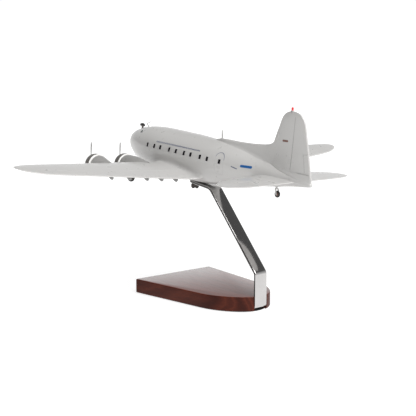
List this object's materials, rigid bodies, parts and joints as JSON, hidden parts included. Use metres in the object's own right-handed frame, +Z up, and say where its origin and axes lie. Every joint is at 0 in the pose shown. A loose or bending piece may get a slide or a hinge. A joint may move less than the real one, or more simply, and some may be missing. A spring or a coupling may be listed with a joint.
{
  "type": "desktop airliner model",
  "caption": "Silver-grey propeller airliner display model with turning propellers and wheels, held nose-up by a bent polished bar on a dark wooden base.",
  "frame": {"origin": "centre of the underside of the felt pad under the base", "axes": "+X towards the nose, +Y to port (left wing), +Z up"},
  "size_m": [0.2978, 0.4518, 0.217],
  "materials": {
    "grey_paint": "gloss pearl-grey paint over cast resin",
    "cowl_paint": "gloss grey paint with a bright band",
    "engine_metal": "dark moulded engine face, metallic paint",
    "prop_metal": "polished thin metal",
    "steel": "bright steel",
    "brass": "turned brass",
    "arm_metal": "mirror-polished metal",
    "mahogany": "dark red-brown mahogany, clear gloss lacquer",
    "felt": "black felt",
    "rubber": "black tyre",
    "black_gloss": "black gloss paint",
    "screw_black": "blackened winged screw",
    "beacon_red": "translucent red lens"
  },
  "bodies": {
    "airframe": {"aerial_mast_front": "grey_paint", "aerial_mast_mid": "grey_paint", "base_block": "mahogany", "beacon_lens": "beacon_red", "belly_nut": "brass", "cowl_left_inner": "cowl_paint", "cowl_left_outer": "cowl_paint", "cowl_right_inner": "cowl_paint", "cowl_right_outer": "cowl_paint", "engine_left_inner": "engine_metal", "engine_left_outer": "engine_metal", "engine_right_inner": "engine_metal", "engine_right_outer": "engine_metal", "felt_pad": "felt", "fin": "grey_paint", "foot_screw_front": "steel", "foot_screw_rear": "steel", "fuselage": "grey_paint", "loop_housing": "black_gloss", "loop_pedestal": "black_gloss", "main_axle_left": "steel", "main_axle_right": "steel", "nacelle_left_inner": "grey_paint", "nacelle_left_outer": "grey_paint", "nacelle_right_inner": "grey_paint", "nacelle_right_outer": "grey_paint", "pitot_tube": "prop_metal", "prop_shaft_left_inner": "steel", "prop_shaft_left_outer": "steel", "prop_shaft_right_inner": "steel", "prop_shaft_right_outer": "steel", "stand_arm": "arm_metal", "tail_axle": "steel", "tail_dowel": "steel", "tail_fork": "grey_paint", "tailplane_left": "grey_paint", "tailplane_right": "grey_paint", "wing_dowel_front": "steel", "wing_dowel_rear": "steel", "wing_left": "grey_paint", "wing_right": "grey_paint", "wing_screw": "screw_black"},
    "left_outer_propeller": {"propeller_left_outer": "prop_metal", "hub_cap_left_outer": "prop_metal"},
    "left_inner_propeller": {"propeller_left_inner": "prop_metal", "hub_cap_left_inner": "prop_metal"},
    "right_inner_propeller": {"propeller_right_inner": "prop_metal", "hub_cap_right_inner": "prop_metal"},
    "right_outer_propeller": {"propeller_right_outer": "prop_metal", "hub_cap_right_outer": "prop_metal"},
    "left_main_wheel": {"main_wheel_left": "rubber"},
    "right_main_wheel": {"main_wheel_right": "rubber"},
    "tail_roller": {"tail_wheel": "rubber"}
  },
  "joints": [
    {"name": "left_outer_propeller_spin", "type": "hinge", "parent": "airframe", "child": "left_outer_propeller", "pos_m": [0.09418, 0.1004, 0.15026], "axis": [0.9989, 0, 0.0473], "continuous": true},
    {"name": "left_inner_propeller_spin", "type": "hinge", "parent": "airframe", "child": "left_inner_propeller", "pos_m": [0.10875, 0.0517, 0.14684], "axis": [0.9989, 0, 0.0473], "continuous": true},
    {"name": "right_inner_propeller_spin", "type": "hinge", "parent": "airframe", "child": "right_inner_propeller", "pos_m": [0.10875, -0.0517, 0.14684], "axis": [0.9989, 0, 0.0473], "continuous": true},
    {"name": "right_outer_propeller_spin", "type": "hinge", "parent": "airframe", "child": "right_outer_propeller", "pos_m": [0.09418, -0.1004, 0.15026], "axis": [0.9989, 0, 0.0473], "continuous": true},
    {"name": "left_main_wheel_roll", "type": "hinge", "parent": "airframe", "child": "left_main_wheel", "pos_m": [0.08704, 0.0517, 0.134], "axis": [0, 1, 0], "continuous": true},
    {"name": "right_main_wheel_roll", "type": "hinge", "parent": "airframe", "child": "right_main_wheel", "pos_m": [0.08704, -0.0517, 0.134], "axis": [0, 1, 0], "continuous": true},
    {"name": "tail_wheel_roll", "type": "hinge", "parent": "airframe", "child": "tail_roller", "pos_m": [-0.09767, 0, 0.12776], "axis": [0, 1, 0], "continuous": true}
  ]
}
